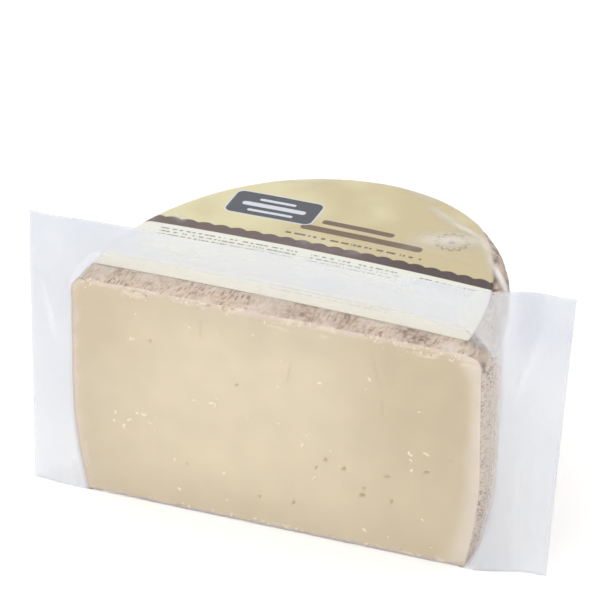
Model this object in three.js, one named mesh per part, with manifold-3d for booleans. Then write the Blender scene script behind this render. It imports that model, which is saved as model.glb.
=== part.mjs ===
// Aged sheep cheese: half of a wheel in a clear vacuum bag, standing on its base.
// Millimetres. +Z is up, +X runs along the cut, and the cut looks along -Y.
// The pieces are modelled with the cut at y = 0 and the base at z = 0, and then
// moved together so that the origin is the middle of the footprint.
import * as THREE from 'three';
import { mergeVertices } from 'three/addons/utils/BufferGeometryUtils.js';
import Module from 'manifold-3d';

// Driving dimensions
const CHEESE = {
  halfWidth: 90, // the wheel's radius along the cut
  backReach: 108, // from the wheel's middle to its back, as the wheel is oval
  cutToMiddle: 11, // the wheel's middle lies this far behind the cut
  height: 101,
  topEdge: 6, // radius of the upper edge
  baseEdge: 1.2, // radius of the lower edge
  footTaper: 6.5, // the base is this much narrower, measured on the radius
  taperFrom: 48, // height at which the side starts to draw in towards the base
  waist: 2.6, // behind the cut, the side is hollow by this much below the rim
  foot: 2.4, // and its foot stands out by this much
  footHeight: 20,
  rindRelief: 0.45, // height of the dents and bulges in the rind
};
const LABEL = {
  thickness: 0.3,
  frontEdge: 13, // behind the cut
  middleX: -6, // the label sits a little to the left of the wheel's middle
  halfWidth: 86.5,
  backReach: 122,
  foldOver: 50, // degrees that it follows the upper edge downwards
};
const FILM = {
  thickness: 0.5,
  topLeft: { x: -107.6, z: 127.3 },
  topRight: { x: 127.2, z: 132.5 },
  bottomLeft: { x: -107.4, z: 0 },
  bottomRight: { x: 117, z: 0 },
  rightBend: 6.5, // the right border hangs this far back
  leftBend: 1.2,
  topLean: 2.2, // the upper border leans this far back above the cheese
  topRipple: 0.7,
};
const GAP = 0.35; // clear space between two pieces that touch in life

// The wheel's outline against a plain oval: a sum of waves round the wheel
const BULGE = {
  middle: 1.0207,
  waves: [
    // size as a share of the radius, waves in a turn, phase
    [0.0194, 1, 2.18],
    [0.0224, 2, -1.81],
    [0.0169, 3, -2.16],
    [0.0051, 4, -1.13],
    [0.003, 5, 2.1],
  ],
};

// Eyes in the paste: x along the cut, z above the base, radius
const EYES = [
  [-54, 78, 0.8],
  [-16, 65, 0.7],
  [23, 38, 1.2],
  [31, 35.5, 1.0],
  [50, 36, 1.3],
  [40, 27.5, 1.2],
  [39.5, 22.5, 0.9],
  [9, 14, 0.8],
  [67, 42, 1.1],
  [77.5, 50, 0.9],
  [-6, 13.5, 1.0],
  [52, 25, 0.9],
];

// Fineness
const WHEEL_STEPS = 132;
const SIDE_STEPS = 18;
const EDGE_STEPS = 5;
const FILM_STEPS = { across: 44, up: 22 };
const FAR = 400; // reaches past every piece

const wasm = await Module();
wasm.setup();

// A closed three.js geometry as a solid that can be cut
function solid(geometry) {
  const bare = geometry.clone();
  bare.deleteAttribute('normal');
  bare.deleteAttribute('uv');
  const merged = mergeVertices(bare, 1e-4);
  const corners = merged.index.array;
  const kept = [];
  for (let i = 0; i < corners.length; i += 3) {
    const [a, b, c] = [corners[i], corners[i + 1], corners[i + 2]];
    if (a !== b && b !== c && c !== a) kept.push(a, b, c);
  }
  const mesh = new wasm.Mesh({
    numProp: 3,
    vertProperties: new Float32Array(merged.attributes.position.array),
    triVerts: new Uint32Array(kept),
  });
  return new wasm.Manifold(mesh);
}

// A solid as a named mesh
function piece(name, shape, material) {
  const { vertProperties, triVerts } = shape.getMesh();
  const geometry = new THREE.BufferGeometry();
  geometry.setAttribute('position', new THREE.BufferAttribute(vertProperties, 3));
  geometry.setIndex(new THREE.BufferAttribute(triVerts, 1));
  geometry.computeVertexNormals();
  const mesh = new THREE.Mesh(geometry, material);
  mesh.name = name;
  return mesh;
}

function block(fromY, toY) {
  const box = new THREE.BoxGeometry(FAR, toY - fromY, FAR);
  box.translate(0, (fromY + toY) / 2, 0);
  return solid(box);
}

// The wheel's radius at a height: straight above, drawn in towards the base
function radiusAt(z) {
  const below = Math.max(0, CHEESE.taperFrom - z) / CHEESE.taperFrom;
  return CHEESE.halfWidth - CHEESE.footTaper * below ** 2;
}

// How far the side is hollow: nothing at the cut and the rim, less low down, and it stands out
// at the foot
function hollow(angle, z) {
  const { smoothstep } = THREE.MathUtils;
  const { waist, height, cutToMiddle, backReach, foot, footHeight } = CHEESE;
  const behindCut = smoothstep(cutToMiddle + backReach * Math.sin(angle), 0, 30);
  const belowRim = smoothstep(height - z, 5, 25);
  const aboveBase = 1 - 0.65 * smoothstep(height - z, 60, height);
  const atFoot = 1 - smoothstep(z, 0, footHeight);
  return behindCut * (waist * belowRim * aboveBase - foot * atFoot);
}

// Points round a rounded edge, from one angle to another, in degrees above the horizontal
function edgePoints(middleR, middleZ, radius, from, to) {
  const points = [];
  for (let step = 0; step <= EDGE_STEPS; step += 1) {
    const angle = THREE.MathUtils.degToRad(from + ((to - from) * step) / EDGE_STEPS);
    const r = middleR + radius * Math.cos(angle);
    const z = middleZ + radius * Math.sin(angle);
    points.push(new THREE.Vector2(r, z));
  }
  return points;
}

// The wheel's outline from the middle of its base to the middle of its top, grown outwards
function wheelProfile(grow) {
  const { height, topEdge, baseEdge } = CHEESE;
  const points = [new THREE.Vector2(0, -grow), new THREE.Vector2(radiusAt(0) * 0.55, -grow)];
  const footR = radiusAt(baseEdge) - baseEdge;
  points.push(...edgePoints(footR, baseEdge, baseEdge + grow, -90, 0));
  for (let step = 1; step < SIDE_STEPS; step += 1) {
    const z = baseEdge + ((height - topEdge - baseEdge) * step) / SIDE_STEPS;
    points.push(new THREE.Vector2(radiusAt(z) + grow, z));
  }
  const rimR = radiusAt(height) - topEdge;
  points.push(...edgePoints(rimR, height - topEdge, topEdge + grow, 0, 90));
  points.push(new THREE.Vector2(rimR * 0.6, height + grow), new THREE.Vector2(0, height + grow));
  return points;
}

// The label's section: over the top and a little way down the upper edge
function labelProfile() {
  const { height, topEdge } = CHEESE;
  const rimR = radiusAt(height) - topEdge;
  const inner = topEdge + GAP;
  const outer = inner + LABEL.thickness;
  const lowest = 90 - LABEL.foldOver;
  const middle = rimR * 0.6;
  return [
    new THREE.Vector2(0, height + GAP),
    new THREE.Vector2(middle, height + GAP),
    ...edgePoints(rimR, height - topEdge, inner, 90, lowest),
    ...edgePoints(rimR, height - topEdge, outer, lowest, 90),
    new THREE.Vector2(middle, height + GAP + LABEL.thickness),
    new THREE.Vector2(0, height + GAP + LABEL.thickness),
  ];
}

// Low dents and bulges of a rind that aged on a shelf, in the range -1 to 1
function rindRelief(angle, z) {
  const broad = Math.sin(5 * angle + 0.035 * z + 0.6) * Math.sin(0.07 * z + 2 * angle);
  const fine = Math.sin(17 * angle - 0.11 * z) * Math.sin(0.21 * z + 9 * angle + 1.3);
  return 0.6 * broad + 0.4 * fine;
}

// The wheel isn't quite regular: it bulges at the back right and is flatter at the back left
function wobble(angle) {
  let share = BULGE.middle;
  for (const [size, waves, phase] of BULGE.waves) {
    share += size * Math.sin(waves * angle + phase);
  }
  return share;
}

// Turns a section about the wheel's middle, makes it oval and gives its side relief
function wheel(profile) {
  const lathe = new THREE.LatheGeometry(profile, WHEEL_STEPS);
  lathe.rotateX(Math.PI / 2);
  const place = lathe.attributes.position;
  const oval = CHEESE.backReach / CHEESE.halfWidth;
  const { height, topEdge, baseEdge, cutToMiddle } = CHEESE;
  const sideRange = height - topEdge - baseEdge;
  for (let i = 0; i < place.count; i += 1) {
    const [x, y, z] = [place.getX(i), place.getY(i), place.getZ(i)];
    const radius = Math.hypot(x, y);
    const angle = Math.atan2(y, x);
    const share = THREE.MathUtils.clamp((z - baseEdge) / sideRange, 0, 1);
    const onSide = Math.sin(Math.PI * share) ** 0.5;
    const lift = CHEESE.rindRelief * rindRelief(angle, z) * onSide - hollow(angle, z);
    const scale = radius > 0 ? (wobble(angle) * (radius + lift)) / radius : 1;
    place.setXYZ(i, x * scale, y * scale * oval + cutToMiddle, z);
  }
  return solid(lathe);
}

function makeCheese() {
  const half = wheel(wheelProfile(0)).intersect(block(0, FAR));
  let cut = half;
  for (const [x, z, radius] of EYES) {
    const eye = new THREE.IcosahedronGeometry(radius, 1);
    eye.scale(1.25, 0.9, 0.85);
    eye.rotateY(x * z); // a different turn for each
    eye.translate(x, 0, z);
    cut = cut.subtract(solid(eye));
  }
  return cut;
}

function makeLabel() {
  const outline = new THREE.CylinderGeometry(1, 1, FAR, WHEEL_STEPS);
  outline.rotateX(Math.PI / 2);
  outline.scale(LABEL.halfWidth, LABEL.backReach, 1);
  outline.translate(LABEL.middleX, CHEESE.cutToMiddle, 0);
  const sheet = wheel(labelProfile());
  return sheet.intersect(solid(outline)).intersect(block(LABEL.frontEdge, FAR));
}

// How far back the welded border hangs at a place
function filmBend(x, z) {
  const { smoothstep } = THREE.MathUtils;
  const right = smoothstep(x, 0.95 * CHEESE.halfWidth, 1.25 * CHEESE.halfWidth);
  const left = smoothstep(-x, CHEESE.halfWidth, -FILM.topLeft.x);
  const above = smoothstep(z, CHEESE.height, FILM.topRight.z);
  const middle = 1 - smoothstep(Math.abs(x), 0.85 * CHEESE.halfWidth, 1.15 * CHEESE.halfWidth);
  const ripple = Math.sin(0.055 * x + 0.4) + 0.5 * Math.sin(0.12 * x + 2);
  const top = above * (FILM.topLean * middle + FILM.topRipple * ripple);
  return FILM.rightBend * right + FILM.leftBend * left + top;
}

function makeFilm() {
  const { across, up } = FILM_STEPS;
  const sheet = new THREE.BoxGeometry(1, FILM.thickness, 1, across, 1, up);
  sheet.translate(0.5, 0, 0.5);
  const place = sheet.attributes.position;
  const { lerp } = THREE.MathUtils;
  for (let i = 0; i < place.count; i += 1) {
    const [u, y, w] = [place.getX(i), place.getY(i), place.getZ(i)];
    const left = lerp(FILM.bottomLeft.x, FILM.topLeft.x, w);
    const right = lerp(FILM.bottomRight.x, FILM.topRight.x, w);
    const x = lerp(left, right, u);
    const z = w * lerp(FILM.topLeft.z, FILM.topRight.z, u);
    place.setXYZ(i, x, y + filmBend(x, z), z);
  }
  return solid(sheet).subtract(wheel(wheelProfile(GAP)));
}

const pasteAndRind = new THREE.MeshStandardMaterial({
  color: '#e2d5ba',
  roughness: 0.6,
  metalness: 0,
});
const printedPaper = new THREE.MeshStandardMaterial({
  color: '#dccfa0',
  roughness: 0.7,
  metalness: 0,
});
const milkyFilm = new THREE.MeshStandardMaterial({
  color: '#e9eaef',
  roughness: 0.3,
  metalness: 0,
});

const pack = new THREE.Group();
pack.add(piece('cheese_half', makeCheese(), pasteAndRind));
pack.add(piece('paper_label', makeLabel(), printedPaper));
pack.add(piece('vacuum_film', makeFilm(), milkyFilm));

// The origin is the middle of the footprint, on the surface that the pack stands on
const bounds = new THREE.Box3().setFromObject(pack);
const middle = bounds.getCenter(new THREE.Vector3());
pack.position.set(-middle.x, -middle.y, -bounds.min.z);

const part = new THREE.Group();
part.add(pack);
export default part;
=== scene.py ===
# %% [markdown]
# A half wheel of aged sheep cheese in a vacuum bag
#
# The object is half of a wheel of hard cheese. It stands on its flat base with the cut towards
# the viewer. A paper label lies on top, and a clear bag clings to all of it. Beyond the cheese
# the bag's two sheets are welded into a flat milky border that stands in the plane of the cut.
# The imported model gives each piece's place and size. This script gives them their surfaces.

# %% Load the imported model
import math

import bmesh
import bpy
import numpy as np
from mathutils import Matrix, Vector, noise


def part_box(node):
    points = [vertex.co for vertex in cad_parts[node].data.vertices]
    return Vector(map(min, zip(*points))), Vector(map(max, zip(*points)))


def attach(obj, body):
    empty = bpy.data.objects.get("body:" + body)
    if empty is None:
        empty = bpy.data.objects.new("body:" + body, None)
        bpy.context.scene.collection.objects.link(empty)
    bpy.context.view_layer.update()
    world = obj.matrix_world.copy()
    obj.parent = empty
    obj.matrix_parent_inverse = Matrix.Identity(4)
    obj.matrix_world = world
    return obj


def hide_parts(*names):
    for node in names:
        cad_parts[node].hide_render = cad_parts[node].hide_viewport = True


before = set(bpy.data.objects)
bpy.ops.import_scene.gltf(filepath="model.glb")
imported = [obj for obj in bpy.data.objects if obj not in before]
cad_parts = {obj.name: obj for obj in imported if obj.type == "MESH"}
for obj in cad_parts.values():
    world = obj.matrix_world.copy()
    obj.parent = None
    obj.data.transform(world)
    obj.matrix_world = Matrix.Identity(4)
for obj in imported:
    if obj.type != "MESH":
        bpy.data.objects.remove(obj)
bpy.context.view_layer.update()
print("nodes:", sorted(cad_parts))

# %% [markdown]
# Sizes and places
#
# Sizes are in millimetres, as they would be measured on the real cheese, and one function turns
# them into metres at the end. The wheel's middle and the plane of the cut are read from the
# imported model, so the pieces land on it: x is counted from the wheel's middle, y from the cut
# into the cheese, and z from the surface that the pack stands on.

# %% Sizes and places
MM = 0.001
cheese_low, cheese_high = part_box("cheese_half")
film_low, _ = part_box("vacuum_film")

HEIGHT = (cheese_high.z - cheese_low.z) / MM
HALF_WIDTH = 90.0  # the wheel's radius along the cut
OVAL = 1.2  # the wheel is this much longer from front to back
CUT_TO_MIDDLE = 11.0  # the wheel's middle lies this far behind the cut
TOP_EDGE = 6.0  # radius of the upper edge
BASE_EDGE = 1.2  # radius of the lower edge
FOOT_TAPER = 6.5  # the base is this much narrower, measured on the radius
TAPER_FROM = 48.0  # height at which the side starts to draw in towards the base
WAIST = 2.6  # behind the cut, the side is hollow by this much below its rim
FOOT = 2.4  # and its foot stands out by this much
FOOT_HEIGHT = 20.0
RIM_FROM = HEIGHT - TOP_EDGE  # height at which the upper edge starts to turn
BORDER_LEFT = 107.6  # from the wheel's middle to the border's upper left corner
MIDDLE_X = film_low.x / MM + BORDER_LEFT
CUT_Y = cheese_low.y / MM


def in_frame(points):
    """Points in millimetres from the cut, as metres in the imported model's frame."""
    return (np.asarray(points, float) + (MIDDLE_X, CUT_Y, 0.0)) * MM


print("cheese", round(2 * HALF_WIDTH), "x", round((cheese_high.y - cheese_low.y) / MM), "x", HEIGHT)

# %% [markdown]
# Nodes and colours
#
# Colours are written as sRGB hex values, as they would be picked from a photograph, and one
# function turns them to the linear values that Blender computes with. Another adds a node, so
# that a material reads as a list of its nodes, one to a line. A kind without the word Node is a
# shader node. The inputs come by name, or as a list in the node's own order: a Map Range takes
# the value, the range that it comes from and the range that it goes to, and a Multiply Add
# multiplies the first two and adds the third. Colours that lie over each other, such as bloom on
# a rind, are laid on one after the other.


# %% Nodes and colours
def colour(code):
    """A linear colour from an sRGB hex code."""
    parts = [int(code[i : i + 2], 16) / 255 for i in (1, 3, 5)]
    return [p / 12.92 if p <= 0.04045 else ((p + 0.055) / 1.055) ** 2.4 for p in parts] + [1.0]


def add(tree, kind, inputs=(), out=0, **settings):
    """Adds a node and gives one of its outputs. An input takes a value or another node's output."""
    node = tree.nodes.new(kind if "Node" in kind else "ShaderNode" + kind)
    for name, value in settings.items():
        setattr(node, name, value)
    pairs = inputs.items() if isinstance(inputs, dict) else enumerate(inputs)
    for name, value in pairs:
        socket = node.inputs[name]
        if isinstance(value, bpy.types.NodeSocket):
            tree.links.new(value, socket)
        else:
            socket.default_value = value
    return node.outputs[out] if node.outputs else node


def coats(tree, ground, *layers):
    """Lays colours over the ground, each as far as its mask says."""
    for mask, shade in layers:
        ground = add(tree, "Mix", {0: mask, 6: ground, 7: shade}, out=2, data_type="RGBA")
    return ground


def lumps(size):
    """The scale of a noise with lumps of this many millimetres, on a piece in metres."""
    return 1 / (size * MM)


def new_material(name):
    """An empty material and its node tree."""
    material = bpy.data.materials.new(name)
    material.use_nodes = True
    material.node_tree.nodes.clear()
    return material, material.node_tree


print("a mid grey is", round(colour("#808080")[0], 3), "in linear light")

# %% [markdown]
# Points and meshes
#
# Each piece starts as an array of points and a list of faces, which numpy handles all at once.
# Two small rules shape most of what follows: a soft step from 0 to 1, and smooth noise with
# lumps of a real size. What a material has to know about a place, such as how far it is from
# the rind, is kept on the mesh as one number for each point.


# %% Points and meshes
def mesh_object(name, points, faces, materials, face_materials=None):
    """A smooth mesh object from points in millimetres."""
    mesh = bpy.data.meshes.new(name)
    mesh.from_pydata(in_frame(points).tolist(), [], faces)
    for material in materials:
        mesh.materials.append(material)
    if face_materials is not None:
        mesh.polygons.foreach_set("material_index", face_materials)
    mesh.polygons.foreach_set("use_smooth", [True] * len(mesh.polygons))
    mesh.update()
    item = bpy.data.objects.new(name, mesh)
    bpy.context.scene.collection.objects.link(item)
    return item


def store(item, name, values):
    """Keeps one number for each point of a mesh, which its material can read."""
    layer = item.data.attributes.new(name, "FLOAT", "POINT")
    layer.data.foreach_set("value", np.asarray(values, np.float32))


def strip(first, second, closed=False):
    """Quads between two rows of point numbers."""
    first, second = [int(i) for i in first], [int(i) for i in second]
    quads = list(zip(first, first[1:], second[1:], second))
    if closed:
        quads.append((first[-1], first[0], second[0], second[-1]))
    return quads


def ramp(low, high, value):
    """0 below low, 1 above high and a soft step between them."""
    share = np.clip((np.asarray(value, float) - low) / (high - low), 0, 1)
    return share * share * (3 - 2 * share)


def grain(points, size, seed=0.0):
    """Smooth noise from about -1 to 1 at each point, with lumps of the given size in millimetres."""
    offset = Vector((seed, 2.7 * seed, -1.3 * seed))
    return np.array([noise.noise(Vector(p) / size + offset) for p in points])


def upright(x, z):
    """Places in the plane of the cut."""
    return np.column_stack([x, 0 * x, z])


def beside(x, y, line):
    """How far along a line each place lies, as a share, and how far away from it."""
    x0, y0, x1, y1 = line
    run = np.array([x1 - x0, y1 - y0])
    share = np.clip(((x - x0) * run[0] + (y - y0) * run[1]) / (run @ run), 0, 1)
    return share, np.hypot(x - x0 - share * run[0], y - y0 - share * run[1])


print("a step from 0 to 10 gives", float(ramp(0, 10, 3)), "at 3")

# %% [markdown]
# The wheel's outline
#
# A wheel of cheese is pressed in a round mould, so its shape follows one rule: a profile turned
# about a middle, here a little longer than it is wide. A cut through it has a straight front.
# The body is built as a stack of D-shaped rings. Each ring runs round the rind from the right
# end of the cut to the left end, and back along the cut. A lathe and a boolean cut would give
# the same form, but the rings also give the cut an even grid that can carry fine relief.

# %% The wheel's outline
BULGE_MIDDLE = 1.0207
BULGE = (  # size as a share of the radius, waves in a turn, phase
    (0.0194, 1, 2.18),
    (0.0224, 2, -1.81),
    (0.0169, 3, -2.16),
    (0.0051, 4, -1.13),
    (0.003, 5, 2.1),
)
RIND_RELIEF = 0.45  # height of the dents and bulges in the rind


def wheel_radius(z):
    below_taper = np.maximum(0, TAPER_FROM - z) / TAPER_FROM
    return HALF_WIDTH - FOOT_TAPER * below_taper**2


def wobble(angle):
    """The wheel bulges at the back right and is flatter at the back left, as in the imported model."""
    return BULGE_MIDDLE + sum(size * np.sin(waves * angle + phase) for size, waves, phase in BULGE)


def angle_at(radius, y, side):
    """The angle at which a ring reaches this y, on the right (1) or on the left (-1)."""
    angle = 0.0 if side > 0 else math.pi
    for _ in range(5):
        rise = math.asin((y - CUT_TO_MIDDLE) / (radius * OVAL * wobble(angle)))
        angle = rise if side > 0 else math.pi - rise
    return angle


def hollow(angle, z):
    """How far the side is drawn in: nothing at the cut and the rim, and its foot stands out."""
    behind_cut = ramp(0, 30, CUT_TO_MIDDLE + HALF_WIDTH * OVAL * np.sin(angle))
    above_base = 1 - 0.65 * ramp(60, HEIGHT, HEIGHT - z)
    waist = WAIST * ramp(5, 25, HEIGHT - z) * above_base
    return behind_cut * (waist - FOOT * (1 - ramp(0, FOOT_HEIGHT, z)))


def on_wheel(radius, angle, z=HEIGHT):
    """Places on the wheel's outline at a height, in plan."""
    reach = wobble(angle) * (radius - hollow(angle, z))
    return reach * np.cos(angle), CUT_TO_MIDDLE + reach * OVAL * np.sin(angle)


def dents(angle, z):
    """The rind's broad dents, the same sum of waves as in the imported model."""
    broad = np.sin(5 * angle + 0.035 * z + 0.6) * np.sin(0.07 * z + 2 * angle)
    fine = np.sin(17 * angle - 0.11 * z) * np.sin(0.21 * z + 9 * angle + 1.3)
    share = np.clip((z - BASE_EDGE) / (RIM_FROM - BASE_EDGE), 0, 1)
    return RIND_RELIEF * (0.6 * broad + 0.4 * fine) * np.sin(np.pi * share) ** 0.5


def side_and_rim(grow, heights, edge_steps):
    """Radius, height and tilt of each level, up the side and over the upper edge."""
    levels = [(wheel_radius(z) + grow, z, 0.0) for z in heights]
    rim = wheel_radius(HEIGHT) - TOP_EDGE
    edge = TOP_EDGE + grow
    for tilt in np.radians(np.linspace(0, 90, edge_steps + 1)):
        levels.append((rim + edge * math.cos(tilt), RIM_FROM + edge * math.sin(tilt), tilt))
    return levels


print("half the cut at the base:", round(float(on_wheel(wheel_radius(0), 0.0, 0)[0]), 1), "mm")

# %% [markdown]
# Paste
#
# Aged sheep cheese has a dense, waxy, ivory paste. The knife leaves it smooth, with a fine
# grain, a few small eyes and white crystals. It is darker and yellower towards the rind, where
# it has dried more. Light enters it a little, so the colour gets some subsurface scattering.
# The distance to the rind is stored on the mesh, and the material reads it. So is a pale band
# along the right edge, where the paste has dried white under a pocket of air.

# %% Paste
PASTE_HEART = colour("#D2C3A6")
PASTE_OUTER = colour("#C7B89C")
PASTE_EDGE = colour("#CFBDAD")
PASTE_PALE = colour("#D3C6B6")
PASTE_FLAKE_AND_HIGHLIGHT = colour("#DED0BB")
PASTE_AGED = colour("#BDAB8C")
FOOT_RIND = colour("#BAAEA6")
# painted shade for the insides of the eyes and cracks
EYE_AND_CRACK_PAINTED_SHADE = colour("#A8926C")


def make_paste():
    material, tree = new_material("sheep_cheese_paste")
    place = add(tree, "TexCoord", out="Object")
    stored = ("to_rind", "pit", "aged", "dry_band", "foot_rind", "flake_and_highlight")
    depth, pit, aged, white, dragged, flake_and_highlight = (
        add(tree, "Attribute", out="Fac", attribute_name=name) for name in stored
    )

    # the drying front isn't an even distance from the rind
    drift = add(tree, "TexNoise", {"Vector": place, "Scale": lumps(26.32), "Detail": 3.0})
    uneven = add(tree, "Math", [drift, 16.0, -8.0], operation="MULTIPLY_ADD")
    front = add(tree, "Math", [depth, uneven], operation="ADD")
    inward = add(tree, "MapRange", [front, 3.0, 26.0], interpolation_type="SMOOTHSTEP")
    # painted light: the heart's colour fades out towards the right, as if lit more from the left, and the
    # outer colour shows there
    across = add(tree, "SeparateXYZ", [place], out="X")
    painted_light_from_left = add(tree, "MapRange", [across, -0.01, 0.065, 1.0, 0.12])
    fresh_and_painted_light = add(tree, "Math", [inward, painted_light_from_left], operation="MULTIPLY")
    # the rim is dry and pinkish, and its inner edge wanders by a few millimetres
    wander = {"Vector": place, "Scale": lumps(4.167), "Detail": 4.0, "Roughness": 0.65}
    ragged = add(tree, "Math", [add(tree, "TexNoise", wander), 7.0, -3.5], operation="MULTIPLY_ADD")
    dry = add(tree, "Math", [depth, ragged], operation="ADD")
    rim = add(tree, "MapRange", [dry, 1.0, 2.6, 0.9, 0.0])

    # the knife has dragged some rind over the foot, and broken flakes of dry paste are pale and also carry
    # a painted highlight
    body = coats(tree, PASTE_OUTER, (fresh_and_painted_light, PASTE_HEART), (aged, PASTE_AGED), (rim, PASTE_EDGE))
    body = coats(tree, body, (white, PASTE_PALE), (dragged, FOOT_RIND), (flake_and_highlight, PASTE_FLAKE_AND_HIGHLIGHT))

    # soft clouds about 12 mm across, and a grain of about 1 mm
    clouds = add(tree, "TexNoise", {"Vector": place, "Scale": lumps(11.76), "Detail": 4.0})
    fine = add(tree, "TexNoise", {"Vector": place, "Scale": lumps(1.111), "Detail": 3.0})
    mottle = add(tree, "Mix", {0: 0.35, 2: clouds, 3: fine}, data_type="FLOAT")
    tone = add(tree, "MapRange", [mottle, 0.3, 0.7, 0.94, 1.05])
    shaded = add(tree, "VectorMath", {0: body, "Scale": tone}, operation="SCALE")
    look = {
        # the eyes and cracks are darkened with painted shade, for the shadow inside them
        "Base Color": coats(tree, shaded, (pit, EYE_AND_CRACK_PAINTED_SHADE)),
        "Roughness": 0.55,
        "Subsurface Weight": 0.15,
        "Subsurface Radius": (1.0, 0.8, 0.5),
        "Subsurface Scale": 1.4 * MM,
        "Normal": add(tree, "Bump", {"Strength": 0.35, "Distance": 0.4 * MM, "Height": mottle}),
    }
    add(tree, "OutputMaterial", [add(tree, "BsdfPrincipled", look)])
    return material


paste = make_paste()
print("material:", paste.name)

# %% [markdown]
# Rind
#
# A natural rind dries on a shelf for a year. It is matt, beige to pinkish brown, with darker
# specks and pale bloom. The cloth that lined the mould has left a print of short fine grooves:
# slanting ones on the side, and ones that run to the back on the top. Noises of real size give
# it that: patches of 15 mm, blotches of 3 mm, specks of under 1 mm, and for the print one noise
# that is squeezed across the grooves. Stains of rust brown are placed on the mesh, and with them
# some painted shade where the film pleats over the right corner.

# %% Rind
RIND_BEIGE = colour("#CEBBA6")
RIND_BROWN = colour("#A08369")
RIND_BLOOM = colour("#DCD1C7")
RIND_GROOVE = colour("#8F7767")
RIND_RUST_AND_CREASE_SHADE = colour("#6E5442")
GROOVE_SQUEEZE = 4.5  # a groove is this many times longer than it is wide
SLANT = 0.55  # on the side a groove falls this much for each millimetre that it runs back


def make_rind():
    material, tree = new_material("natural_rind")
    place = add(tree, "TexCoord", out="Object")
    patches, blotches, specks = (
        add(tree, "TexNoise", {"Vector": place, "Scale": lumps(size), "Detail": detail, "Roughness": rough})
        for size, detail, rough in ((15.385, 5.0, 0.5), (3.03, 6.0, 0.65), (0.9091, 3.0, 0.5))
    )
    brown = add(tree, "MapRange", [blotches, 0.42, 0.7, 0.0, 0.6])
    dark = add(tree, "MapRange", [specks, 0.6, 0.72, 0.0, 0.5])

    # bloom lies in patches on the top and over most of the side
    pale = add(tree, "MapRange", [patches, 0.5, 0.72, 0.0, 0.7])
    facing = add(tree, "NewGeometry", out="Normal")
    upward = add(tree, "SeparateXYZ", [facing], out="Z")
    on_side = add(tree, "MapRange", [upward, 0.5, 0.1, 0.0, 0.45])
    bloom = add(tree, "Math", [pale, on_side], operation="MAXIMUM")

    # the cloth's print: squeezed in height on the side, and along the cut on the top
    backward = add(tree, "SeparateXYZ", [place], out="Y")
    fallen = add(tree, "Math", [backward, SLANT], operation="MULTIPLY")
    fallen = add(tree, "CombineXYZ", {"Z": fallen})
    slanted = add(tree, "VectorMath", [place, fallen], operation="ADD")
    level = add(tree, "VectorMath", [slanted, (1.0, 1.0, GROOVE_SQUEEZE)], operation="MULTIPLY")
    crossing = add(tree, "VectorMath", [place, (GROOVE_SQUEEZE, 1.0, 1.0)], operation="MULTIPLY")
    on_top = add(tree, "MapRange", [upward, 0.6, 0.8])
    squeezed = add(tree, "Mix", {0: on_top, 4: level, 5: crossing}, out=1, data_type="VECTOR")
    weave = {"Vector": squeezed, "Scale": lumps(4.762), "Detail": 4.0, "Roughness": 0.6}
    cloth = add(tree, "TexNoise", weave)
    worn = add(tree, "MapRange", [patches, 0.6, 0.42, 0.25])
    deep = add(tree, "MapRange", [cloth, 0.5, 0.39])
    groove = add(tree, "Math", [deep, worn], operation="MULTIPLY")

    # a stain, and the painted crease shade, is strongest where the rind is brown already
    stain_and_crease_shade = add(tree, "Attribute", out="Fac", attribute_name="stain_and_crease_shade")
    depth = add(tree, "Math", [brown, 1.1, 0.4], operation="MULTIPLY_ADD")
    rust_and_crease_shade = add(tree, "Math", [stain_and_crease_shade, depth], operation="MULTIPLY")

    tone = coats(tree, RIND_BEIGE, (brown, RIND_BROWN), (bloom, RIND_BLOOM), (groove, RIND_GROOVE))
    tone = coats(tree, tone, (dark, RIND_BROWN), (rust_and_crease_shade, RIND_RUST_AND_CREASE_SHADE))
    height = add(tree, "Mix", {0: 0.5, 2: blotches, 3: cloth}, data_type="FLOAT")
    relief = add(tree, "Bump", {"Strength": 0.8, "Distance": 0.9 * MM, "Height": height})
    look = {"Base Color": tone, "Roughness": 0.8, "Normal": relief}
    add(tree, "OutputMaterial", [add(tree, "BsdfPrincipled", look)])
    return material


rind = make_rind()
print("material:", rind.name)

# %% [markdown]
# The cheese's rings
#
# The rings are stacked from the middle of the base, up the side and over the rounded upper
# edge, to the middle of the top. The points of the front row lie on the cut. The rings on the
# top and the base shrink towards one point, so every face is a small quad that can carry relief.

# %% The cheese's rings
ROUND_STEPS = 230
CUT_STEPS = 280
CRUMBLY = 7.0  # near its upper and lower edge the cut has rows half a millimetre apart
SHRINK_TO = np.array([0.0, 45.0])  # the point that the rings on the top and the base close on
BASE_SHARES = [0.02, 0.3, 0.6, 0.85, 0.97]  # sizes of the base's rings


def ring_points(radius, z, shrink=1.0):
    """One closed ring: round the rind, then back along the cut."""
    angles = np.linspace(angle_at(radius, 0, 1), angle_at(radius, 0, -1), ROUND_STEPS + 1)
    x, y = on_wheel(radius, angles, z)
    along = np.linspace(x[-1], x[0], CUT_STEPS + 1)[1:-1]
    plan = np.column_stack([np.append(x, along), np.append(np.maximum(y, 0.0), 0 * along)])
    plan = SHRINK_TO + (plan - SHRINK_TO) * shrink
    return np.column_stack([plan, np.full(len(plan), z)])


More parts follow.
